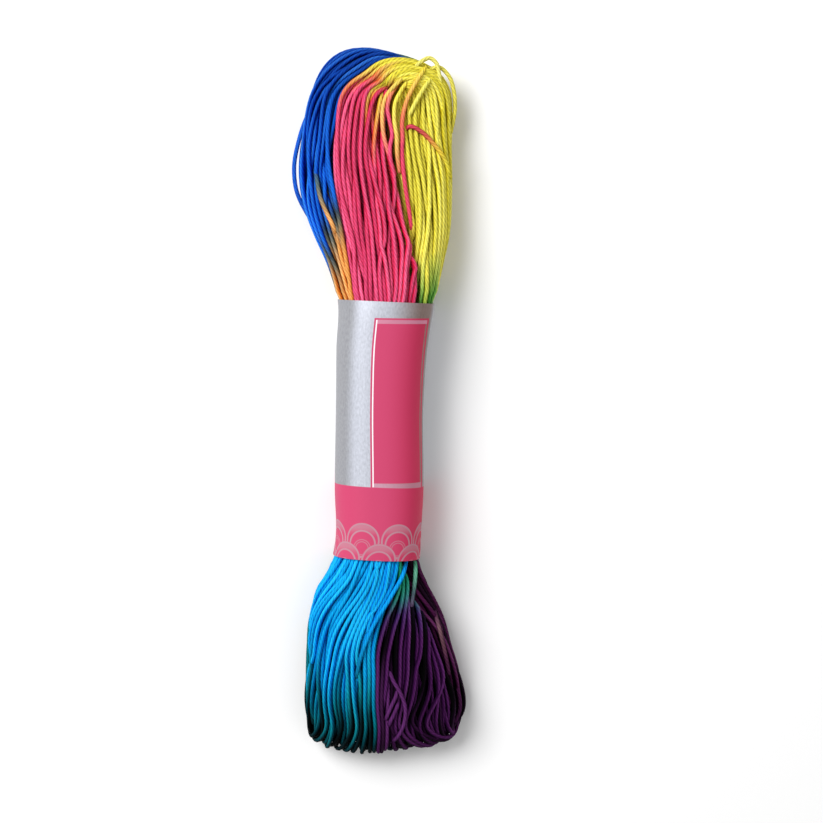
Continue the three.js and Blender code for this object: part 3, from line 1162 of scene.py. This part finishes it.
    def place_at(self, turn: int, y: float) -> Array:
        """Where a turn stands in the bundle at a place on its left leg."""
        station = np.argmin(np.abs(self.stations.lap - self.form.lap_at(Stretch.LEFT_LEG, y)))
        return self.drifted[station, turn]

    def dark_turns(self) -> Array:
        """Which turns are black where others are purple, as painted shade: the deep ones and every third
        outer one.
        """
        places = np.array([self.place_at(turn, self.lower_mark) for turn in range(self.turns)])
        outer = np.flatnonzero(np.hypot(places[:, 0], places[:, 1]) > self.skin)
        bearing = np.arctan2(places[outer, 1], places[outer, 0])
        dark = np.ones(self.turns, dtype=bool)
        ranked = outer[np.argsort(bearing)]
        dark[ranked] = np.arange(len(ranked)) % 3 == 0
        return dark

    def dyes_of(self, turn: int) -> tuple[Dye, Dye]:
        """Which runs of colour a turn has, by its side of the bundle in each lobe."""
        across, up = self.place_at(turn, self.upper_mark)
        lean = math.radians(self.blue_lean)
        outer = across * math.cos(lean) - up * math.sin(lean)
        upper = Dye.BLUE if outer > self.blue_from else Dye.ROSE
        across, up = self.place_at(turn, self.lower_mark)
        bearing = math.degrees(math.atan2(up, across)) % 360.0
        if self.purple_span[0] < bearing < self.purple_span[1]:
            return upper, Dye.BLACK if self.black[turn] else Dye.PURPLE
        return upper, Dye.CYAN if self.cyan_span[0] < bearing < self.cyan_span[1] else Dye.TEAL

    def late_of(self, turn: int) -> float:
        """How late a turn took the dye: of the blue ones, the inner turns changed colour further on."""
        if self.dyes_of(turn)[0] is not Dye.BLUE:
            return 0.0
        return self.late_rate * (self.late_edge - self.start[turn][0])

    def build(self) -> list[bpy.types.Object]:
        """Winds the strand, meshes it in a few pieces and dresses them.

        Returns:
            The pieces.
        """
        points = self.stations.in_space(self.settled(self.lay())).transpose(1, 0, 2)
        self.black = self.dark_turns()
        points[..., 2] = np.maximum(points[..., 2], self.diameter / 2 + 0.02)
        middles = self.stations.in_space(self.stations.middle[:, None, :]).transpose(1, 0, 2)
        outward = (points - middles).reshape(-1, 3)
        outward /= np.linalg.norm(outward, axis=1, keepdims=True)
        self.centres = self.softened(points.reshape(-1, 3))
        length = np.linalg.norm(np.diff(self.centres, axis=0), axis=1).sum()
        LOG.info("thread: %d turns, %.1f m long", self.turns, length * MM)
        lap = self.stations.lap
        colours = [
            self.finish.colours(self.form, self.dyes_of(i), lap, self.late_of(i), self.random)
            for i in range(self.turns)
        ]
        # random per-turn tones times the painted shade of the deep turns
        tone_and_shade = (self.shade * self.random.uniform(*self.tone_range, self.turns)).T.ravel()
        made = []
        for i, share in enumerate(np.array_split(np.arange(self.turns), self.pieces)):
            rows = slice(share[0] * len(lap), min((share[-1] + 1) * len(lap) + 1, len(self.centres)))
            parts = (self.centres, outward, np.vstack(colours), tone_and_shade)
            strand = Strand(*(part[rows] for part in parts), self.diameter)
            piece = mesh_strands(f"thread_turns_{i + 1}", [strand])
            dress(piece, self.material, "hank")
            made.append(piece)
        return made


@dataclass(frozen=True)
class SlackStrand:
    """A length of thread that has come away from the bundle, with its colours from end to end.

    A point is across and along the skein, then its height above the turns that the strand lies
    on, or above the surface for one that hangs clear.
    """

    points: tuple[Place, ...]
    colours: tuple[Colour, ...]
    hangs: bool = False


@dataclass
class SlackStrands:
    """The few lengths of thread that cross over the others or hang clear of them."""

    turns: ThreadTurns
    step: float = 0.5
    tuck: float = 0.9
    tuck_run: float = 1.4
    strands: tuple[SlackStrand, ...] = (
        # a loop that hangs off the left edge
        SlackStrand(
            ((-12.6, 60.8, 5), (-16.1, 52, 6), (-17.3, 45.5, 6), (-16.8, 41.2, 6), (-15.1, 37.4, 5),
             (-11.2, 32.2, 4)),
            ((34, 98, 208), (34, 98, 208)),
            hangs=True,
        ),
        # a turn that crosses over the yellow leg
        SlackStrand(
            ((4.1, 52.4, -1.8), (5.6, 53.4, 0), (7.6, 52.4, 0), (9.9, 50.2, 0), (12.6, 46.3, 0),
             (13.2, 43.6, -0.6)),
            ((206, 70, 96), (214, 72, 96), (222, 104, 84), (236, 196, 70), (240, 226, 74),
             (240, 226, 74)),
        ),
        # a turn that slants across the cyan from the foot of the band
        SlackStrand(
            ((4.9, -29.4, -1.2), (4.3, -32.6, 0), (1.7, -37.6, 0.1), (-1.7, -43.4, 0.1),
             (-4.2, -49.8, 0), (-5.2, -54.5, -0.7)),
            ((14, 164, 242), (14, 164, 242), (14, 158, 232), (10, 120, 150)),
        ),
        # two loops that stand off the upper right corner
        SlackStrand(
            ((6, 64.6, 9), (7.9, 66.3, 8.6), (9.3, 66.9, 8), (10.5, 66, 8), (11.1, 63.8, 8),
             (11.4, 61.2, 8)),
            ((240, 232, 120), (240, 232, 120)),
            hangs=True,
        ),
        SlackStrand(
            ((8.6, 64.6, 7), (11.2, 65.2, 7), (13, 63.6, 6.6), (14.1, 60.2, 6), (14.2, 57, 6),
             (13.4, 52.6, 6)),
            ((240, 232, 110), (238, 226, 84)),
            hangs=True,
        ),
        # turns that cross the slit under the arch
        SlackStrand(
            ((4.4, 63, -0.4), (2.5, 61.2, 0), (0.9, 59.3, -0.2), (0.2, 57, -0.3), (0.1, 54.3, -0.3),
             (0.4, 51.4, -0.3), (1.1, 48.8, -0.4), (1.8, 46.5, -0.9)),
            ((246, 226, 96), (250, 208, 110), (250, 196, 110), (246, 150, 120), (243, 92, 124)),
        ),
        SlackStrand(
            ((3, 61.6, 10.2), (1.4, 58.6, 11.3), (1.1, 56.8, 11.5), (1.5, 54.5, 11.6),
             (2, 51.6, 11.8), (1.6, 49.6, 12), (1.6, 47.6, 12), (2.5, 44, 11)),
            ((243, 170, 90), (240, 96, 130), (240, 88, 130), (236, 84, 126)),
            hangs=True,
        ),
        SlackStrand(
            ((4.8, 62, 10.4), (3.7, 60.2, 11.3), (2.6, 57.8, 11.8), (2.4, 55, 12), (2.9, 51.2, 12.2),
             (3, 47.8, 12.2), (3.5, 44.5, 11)),
            ((246, 232, 90), (246, 232, 90), (248, 226, 110), (250, 190, 110), (246, 140, 110)),
            hangs=True,
        ),
        SlackStrand(
            ((8.6, 65.2, -0.5), (6.2, 61.2, 0.2), (5, 58.8, 0.2), (4.2, 56.1, 0.1), (3.9, 53.7, 0.1),
             (4, 51.3, 0.1), (3.9, 48.8, 0), (4.1, 45.6, 0), (4.5, 42, 0), (5.3, 37, -0.2),
             (5.9, 33, -0.9)),
            ((246, 232, 90), (250, 200, 100), (243, 130, 100), (238, 84, 116), (236, 80, 112),
             (236, 80, 112), (236, 80, 112)),
        ),
        SlackStrand(
            ((9.6, 63, -0.6), (8, 60.6, 0.2), (6.2, 57.4, 0.1), (5, 54.9, -0.7)),
            ((246, 238, 110), (246, 238, 110)),
        ),
        # turns that lie deep in the slit, coloured dark as painted shade
        SlackStrand(
            ((0.5, 62.5, 4.6), (2, 59, 4.4), (2.2, 54, 4.2), (1.6, 48, 4.2)),
            ((120, 34, 24), (90, 20, 30)),
            hangs=True,
        ),
        SlackStrand(
            ((4, 62.6, 8.6), (2.3, 59.6, 9.8), (1.8, 57, 10), (1.4, 53.6, 9.8), (1.3, 50, 9.2),
             (2, 46, 8.6)),
            ((150, 130, 30), (150, 120, 30), (120, 80, 30), (90, 30, 40)),
            hangs=True,
        ),
        SlackStrand(
            ((2.6, 63.6, 2.4), (2.5, 58, 2.2), (1.5, 53, 2.2), (2.6, 46, 2.2)),
            ((20, 20, 44), (20, 14, 34)),
            hangs=True,
        ),
        # a turn along the lower lobe's left edge
        SlackStrand(
            ((-10.6, -36.2, 5), (-14.2, -43, 5.2), (-14.8, -49, 5.2), (-15, -55, 5), (-15, -60, 4.6),
             (-13.8, -65, 4.4)),
            ((14, 150, 190), (12, 124, 134), (12, 124, 134), (10, 96, 104), (5, 40, 46)),
            hangs=True,
        ),
        # one along its right edge, and one under its lower edge
        SlackStrand(
            ((6.8, -35.4, 6), (11.2, -43, 5.4), (13.2, -50, 5), (14.9, -57, 4.8), (15.4, -62, 4.4),
             (13.8, -66, 4)),
            ((60, 24, 54), (92, 38, 82), (96, 40, 88), (70, 28, 70)),
            hangs=True,
        ),
        SlackStrand(
            ((-13.4, -65.6, 3.4), (-10, -68.2, 3.2), (-5, -69.4, 3.2), (0, -69.4, 3.2),
             (5, -68.4, 3.2), (10, -67.8, 3.2), (14.2, -65.8, 3.4)),
            ((5, 36, 42), (5, 36, 42), (14, 8, 18), (40, 16, 42)),
            hangs=True,
        ),
        # short turns that cross the purple ones
        SlackStrand(
            ((3.1, -56.2, -0.9), (2.6, -58, 0), (1.7, -60, 0), (0.9, -62, 0), (0.6, -63.4, -0.9)),
            ((92, 42, 100), (100, 47, 108)),
        ),
        SlackStrand(
            ((3.3, -58.4, -0.9), (2.9, -60, 0), (2.2, -61.7, 0), (1.5, -63.2, 0), (1.2, -64.6, -0.9)),
            ((86, 38, 94), (92, 42, 100)),
        ),
        SlackStrand(
            ((1.2, -52, -1.4), (2, -54.4, -0.4), (3.6, -57.2, 0.2), (4.5, -60.2, 0.1),
             (4.2, -63.6, 0), (2.9, -66.4, -0.2), (1.7, -67.8, -1)),
            ((84, 38, 92), (96, 44, 104), (90, 42, 98)),
        ),
        # a paler length near the right edge
        SlackStrand(
            ((10.3, -41.4, -0.9), (11.2, -44.6, 0), (12, -48, 0), (12.8, -52, 0), (13.2, -54.4, -0.9)),
            ((84, 36, 76), (122, 88, 98), (108, 70, 84), (90, 42, 78), (80, 34, 72)),
        ),
        # a green end by the foot of the band
        SlackStrand(
            ((6.1, -29.9, -1.8), (6.5, -32.6, -0.1), (6.3, -35.8, 0), (5.9, -38.6, 0),
             (5.7, -40.6, -0.9)),
            ((90, 190, 150), (120, 200, 166), (84, 110, 116), (92, 40, 92)),
        ),
        # one that turns orange early, on the blue
        SlackStrand(
            ((-13.1, 45.6, -1.8), (-12.6, 43.2, -0.1), (-12, 40, 0), (-10.9, 37.2, 0),
             (-9.6, 34.6, 0), (-8.7, 32.4, -1.8)),
            ((32, 92, 170), (84, 108, 112), (170, 148, 112), (246, 176, 104), (253, 184, 108)),
        ),
    )

    def run(self, slack: SlackStrand) -> Strand:
        """Lays one slack strand through its places.

        Args:
            slack: Its places and colours.

        Returns:
            The strand.
        """
        marks = np.array(slack.points, dtype=float)
        lengths = run_lengths(marks)
        along = np.linspace(0.0, lengths[-1], math.ceil(lengths[-1] / self.step))
        line = smooth_read(lengths, marks, along)
        if not slack.hangs:
            line[:, 2] += self.rest_heights(line[:, :2]) - self.tucked(along)
        tints = np.array([linear(colour)[:3] for colour in slack.colours])
        places = np.linspace(0.0, lengths[-1], len(tints))
        colours = np.column_stack([np.interp(along, places, tints[:, i]) for i in range(3)])
        upward = np.tile([0.0, 0.0, 1.0], (len(line), 1))
        return Strand(line, upward, colours, np.ones(len(line)), self.turns.diameter)

    def tucked(self, along: Array) -> Array:
        """How far a strand dips between the turns near its two ends."""
        to_end = np.minimum(along, along[-1] - along)
        return self.tuck * (1.0 - smoothstep(0.0, self.tuck_run, to_end))

    def rest_heights(self, plan: Array) -> Array:
        """How high a strand lies on the turns under it, evened out along the strand.

        Args:
            plan: Places across and along the skein.

        Returns:
            The height of the strand's middle at each place.
        """
        under = self.turns.centres
        reach = self.turns.diameter
        near = np.hypot(plan[:, :1] - under[:, 0], plan[:, 1:] - under[:, 1]) < reach
        tops = np.where(near, under[:, 2], -1.0).max(axis=1)
        found = np.flatnonzero(tops > self.turns.diameter)
        heights = np.interp(np.arange(len(plan)), found, tops[found]) + 0.85 * self.turns.diameter
        for _ in range(12):
            heights[1:-1] += 0.25 * (heights[:-2] + heights[2:] - 2.0 * heights[1:-1])
        return heights

    def build(self) -> bpy.types.Object:
        """Meshes the slack strands as one piece and dresses it.

        Returns:
            The piece.
        """
        piece = mesh_strands("slack_strands", [self.run(slack) for slack in self.strands])
        dress(piece, self.turns.material, "hank")
        return piece


@dataclass(frozen=True)
class PrintedPaper:
    """Pearly silver paper with a pink panel, a pink foot and two rows of waves, with painted shade toward
    its sides.
    """

    silver: Colour = (184, 187, 197)
    left_shade_silver: Colour = (154, 155, 160)
    right_shade_silver: Colour = (134, 116, 110)
    pink: Colour = (197, 69, 107)
    shaded_pink: Colour = (200, 40, 80)
    gap_white: Colour = (250, 244, 248)
    gap_pink: Colour = (206, 134, 158)
    wave: Colour = (180, 136, 149)
    panel_left: float = -1.8
    panel_right: float = 10.5
    panel_top: float = 16.4
    panel_skew: float = 0.03
    panel_lean: float = 0.012
    panel_middle: float = 7.0
    side_shade: tuple[float, float] = (-7.4, -4.6)
    warm_rise: tuple[float, float] = (-0.5, 8.0)
    warm_fall: tuple[float, float] = (10.0, 14.0)
    pink_shade_rise: tuple[float, float] = (0.5, 11.0)
    foot_top: float = -16.2
    line: float = 0.34
    gap: float = 0.26
    right_line: float = 0.75
    right_gap: float = 0.45
    top_gap: float = 0.72
    wave_pitch: float = 7.05
    wave_phase: float = 4.05
    wave_radius: float = 3.4
    wave_inner: float = 2.35
    wave_sink: float = 0.63
    wave_line: float = 0.34
    arc_sink: float = 1.5
    arcs: tuple[float, ...] = (1.75, 1.35)
    wave_high: float = -26.6
    wave_low: float = -30.5
    blur: float = 0.14

    def material(self) -> bpy.types.Material:
        """Makes the printed paper.

        Returns:
            The material.
        """
        shader = Shader("printed_paper")
        across, along, _ = shader.split(shader.attribute("sheet_mm", "Vector"))
        square = (
            across + (along - self.panel_middle) * self.panel_lean,
            along - (across - self.panel_left) * self.panel_skew,
        )
        ink = self.panel(*square) | self.foot(along)
        waves = self.waves(across, along)
        grain_place = shader.node("ShaderNodeCombineXYZ", {}, {0: across, 1: along * 0.5})
        grain = shader.noise(2.8, 4.0, grain_place)
        # painted shade: the silver is greyer toward the left side and darker and warmer toward the right,
        # where the band turns from the light
        shaded_silver = shader.mix(across.ramp(*self.side_shade), linear(self.left_shade_silver), linear(self.silver))
        right_shade = across.ramp(*self.warm_rise) & (1.0 - across.ramp(*self.warm_fall))
        shaded_silver = shader.mix(right_shade, shaded_silver, linear(self.right_shade_silver))
        shine = grain * 0.6 + 0.7
        paper = shader.dimmed(shaded_silver, shine)
        paper = shader.mix(self.cross_strips(*square), paper, linear(self.gap_pink))
        paper = shader.mix(self.left_strip(*square), paper, linear(self.gap_white))
        # painted shade: the pink ink darkens toward the right side of the band
        pink = shader.mix(across.ramp(*self.pink_shade_rise), linear(self.pink), linear(self.shaded_pink))
        printed = shader.mix(ink, paper, pink)
        colour = shader.mix(waves, printed, linear(self.wave))
        return shader.finish(
            {
                "Base Color": colour,
                "Metallic": 0.35 - ink * 0.35,
                "Roughness": grain * 0.1 + 0.45,
                "Normal": shader.bump(grain, 0.02 * MM),
                "Specular IOR Level": 0.12,
            }
        )

    def left_strip(self, across: Field, along: Field) -> Field:
        """The strip left white between the panel and its frame on the left."""
        left = self.panel_left + self.line
        strip = across.soft_between(left, left + self.gap, self.blur)
        return strip & along.soft_between(self.foot_top, self.panel_top - self.line, self.blur)

    def cross_strips(self, across: Field, along: Field) -> Field:
        """The paler strips above and below the panel, inside its frame."""
        high = self.panel_top - self.line
        upper = along.soft_between(high - self.top_gap, high, self.blur)
        lower = along.soft_between(self.foot_top - 0.6, self.foot_top + self.top_gap, self.blur)
        inside = across.soft_between(self.panel_left + self.line, self.panel_right, self.blur)
        return (upper | lower * 0.7) & inside

    def panel(self, across: Field, along: Field) -> Field:
        """The framed panel: a thin line, a bare gap, then solid ink."""
        left, right = self.panel_left + self.line, self.panel_right - self.right_line
        high = self.panel_top - self.line
        inner = across.soft_between(left + self.gap, right - self.right_gap, self.blur)
        inner = inner & along.soft_between(self.foot_top + self.top_gap, high - self.top_gap, self.blur)
        outer = across.soft_between(self.panel_left, self.panel_right, self.blur)
        outer = outer & along.soft_below(self.panel_top, self.blur)
        hole = across.soft_between(left, right, self.blur)
        hole = hole & along.soft_below(high, self.blur)
        return (outer & (1.0 - hole)) | inner

    def foot(self, along: Field) -> Field:
        """The solid strip round the foot of the band."""
        return along.soft_below(self.foot_top, self.blur)

    def waves(self, across: Field, along: Field) -> Field:
        """Two rows of overlapping wave scales, the lower row in front."""
        low_phase = self.wave_phase + self.wave_pitch / 2
        low_rings, low_disc = self.scales(across, along, low_phase, self.wave_low)
        high_rings, _ = self.scales(across, along, self.wave_phase, self.wave_high)
        return low_rings | (high_rings & (1.0 - low_disc))

    def scales(self, across: Field, along: Field, phase: float, height: float) -> tuple[Field, Field]:
        """One row of wave scales.

        Args:
            across: Place across the sheet.
            along: Place along the sheet.
            phase: Where one scale is centred.
            height: The level of the centres.

        Returns:
            The rings, and the whole discs that hide what is behind them.
        """
        half = self.wave_pitch / 2
        offset = (across - phase + half).math("WRAP", self.wave_pitch, 0.0) - half
        rise, sunk, low = (along - (height - drop) for drop in (0.0, self.wave_sink, self.arc_sink))
        radius, inner, arc = ((offset * offset + up * up).math("SQRT") for up in (rise, sunk, low))
        outer_line = radius.soft_between(self.wave_radius - self.wave_line, self.wave_radius, self.blur)
        inner_line = inner.soft_between(self.wave_inner, self.wave_inner + self.wave_line, self.blur)
        body = (radius < self.wave_radius) & (inner > self.wave_inner)
        crown = body & (rise / self.wave_radius).ramp(0.2, 0.8) * 0.62
        rings = (outer_line | inner_line) * 0.9 | crown
        for size in self.arcs:
            rings = rings | arc.soft_between(size - 0.18, size, self.blur) * 0.6
        return rings, radius.soft_below(self.wave_radius, self.blur)


@dataclass
class PaperBand:
    """The printed paper that grips the waist, wrapped once with its ends lapped underneath."""

    form: WoundForm
    finish: PrintedPaper
    paper: float = 0.22
    lap: float = 6.0
    skew: float = -0.045
    columns: int = 150
    rows: int = 40

    def sheet_points(self) -> tuple[Array, Array]:
        """Places the sheet round the waist.

        Returns:
            Points in space and on the flat sheet, row by row.
        """
        ys = np.linspace(self.form.band_foot, self.form.band_top, self.rows)
        columns = smooth_read(self.form.places, self.form.columns, ys)
        space, flat = [], []
        for y, (left, right, height, *_) in zip(ys, columns):
            section = self.form.rounded(left, right, 0.0, height, 720)
            crown = int(np.argmax(section[:, 1] - 1e-3 * np.abs(section[:, 0] - (left + right) / 2)))
            loop = np.roll(section, -crown, axis=0)[::-1]
            closed = np.vstack([loop[-1:], loop])
            lengths = np.concatenate([[0.0], np.cumsum(np.hypot(*np.diff(closed, axis=0).T))])
            girth = lengths[-1]
            across = np.linspace(-girth / 2 - self.lap / 2, girth / 2 + self.lap / 2, self.columns)
            wrapped = np.mod(across, girth)
            ring = np.column_stack([np.interp(wrapped, lengths, closed[:, i]) for i in (0, 1)])
            middle = np.array([(left + right) / 2, height / 2])
            tuck = smoothstep(girth / 2 - self.lap / 2 - 1.5, girth / 2 - self.lap / 2 + 0.5, across)
            inward = middle - ring
            inward /= np.linalg.norm(inward, axis=1, keepdims=True)
            ring = ring + inward * (tuck * (self.paper + 0.05))[:, None]
            tilt = self.skew * (ring[:, 0] - middle[0])
            space.append(np.column_stack([ring[:, 0], y + tilt, ring[:, 1]]))
            flat.append(np.column_stack([across, np.full_like(across, y), np.zeros_like(across)]))
        return np.array(space), np.array(flat)

    def build(self) -> bpy.types.Object:
        """Makes the band and dresses it.

        Returns:
            The band.
        """
        space, flat = self.sheet_points()
        row, column = np.meshgrid(np.arange(self.rows - 1), np.arange(self.columns - 1), indexing="ij")
        first = row * self.columns + column
        quads = np.stack([first, first + 1, first + self.columns + 1, first + self.columns], axis=2)
        mesh = bpy.data.meshes.new("printed_band")
        mesh.from_pydata((space.reshape(-1, 3) * MM).tolist(), [], quads.reshape(-1, 4).tolist())
        put_values(mesh, "sheet_mm", "FLOAT_VECTOR", "vector", flat)
        band = bpy.data.objects.new("printed_band", mesh)
        bpy.context.scene.collection.objects.link(band)
        self._thicken(band)
        dress(band, self.finish.material(), "paper_band")
        return band

    def _thicken(self, band: bpy.types.Object) -> None:
        """Gives the sheet its thickness, inwards."""
        bpy.ops.object.select_all(action="DESELECT")
        bpy.context.view_layer.objects.active = band
        band.select_set(True)
        wall = band.modifiers.new("paper", "SOLIDIFY")
        wall.thickness = self.paper * MM
        wall.offset = -1.0
        bpy.ops.object.modifier_apply(modifier=wall.name)
        bpy.ops.object.shade_smooth_by_angle(angle=math.radians(40))


@dataclass
class Studio:
    """A pale floor, soft light from the upper left and the camera above."""

    floor_size: float = 3.0
    floor_colour: Colour = (246, 246, 246)
    camera_place: tuple[float, float, float] = (5.7, 20.0, 376.0)
    camera_aim: tuple[float, float, float] = (5.73, -2.08, 6.0)
    frame_width: float = 162.7
    sensor: float = 36.0
    world_light: float = 0.42

    def build(self) -> None:
        """Sets up the camera, floor and lights."""
        self._camera()
        self._floor()
        self._light("key", (-0.42, 0.36, 0.62), 0.5, 7.5)
        self._light("fill", (0.5, -0.1, 0.6), 0.8, 0.8)
        bpy.context.scene.view_settings.view_transform = "Standard"
        world = bpy.data.worlds.new("studio")
        world.use_nodes = True
        world.node_tree.nodes["Background"].inputs["Color"].default_value = (1.0, 1.0, 1.0, 1.0)
        world.node_tree.nodes["Background"].inputs["Strength"].default_value = self.world_light
        bpy.context.scene.world = world

    def _camera(self) -> None:
        """Stands the camera where the skein is seen from."""
        place, aim = Vector(self.camera_place) * MM, Vector(self.camera_aim) * MM
        data = bpy.data.cameras.new("camera")
        data.sensor_width = self.sensor
        data.lens = self.sensor * (place - aim).length / (self.frame_width * MM)
        camera = bpy.data.objects.new("camera", data)
        camera.location = place
        ahead = (aim - place).normalized()
        right = ahead.cross(Vector((0.0, 1.0, 0.0))).normalized()
        camera.rotation_euler = Matrix((right, right.cross(ahead), -ahead)).transposed().to_euler()
        bpy.context.scene.collection.objects.link(camera)
        bpy.context.scene.camera = camera

    def _floor(self) -> None:
        """Lays the plain floor."""
        bpy.ops.object.select_all(action="DESELECT")
        bpy.ops.mesh.primitive_plane_add(size=self.floor_size)
        floor = bpy.context.object
        floor.name = "floor"
        shader = Shader("pale_floor")
        finish = shader.finish({"Base Color": linear(self.floor_colour), "Roughness": 0.9})
        floor.data.materials.append(finish)

    def _light(self, name: str, place: tuple[float, float, float], size: float, power: float) -> None:
        """Hangs a soft light that faces the skein.

        Args:
            name: The light's name.
            place: Where it hangs, in metres.
            size: Width of its square.
            power: Its power in watts.
        """
        data = bpy.data.lights.new(name, "AREA")
        data.size = size
        data.energy = power
        light = bpy.data.objects.new(name, data)
        light.location = place
        light.rotation_euler = (-Vector(place)).to_track_quat("-Z", "Y").to_euler()
        bpy.context.scene.collection.objects.link(light)


def main() -> None:
    """Builds the skein and its studio."""
    logging.basicConfig(level=logging.INFO, format="%(name)s: %(message)s")
    form = WoundForm()
    Studio().build()
    turns = ThreadTurns(form, DyedCotton())
    turns.build()
    SlackStrands(turns).build()
    PaperBand(form, PrintedPaper()).build()


if __name__ == "__main__":
    main()
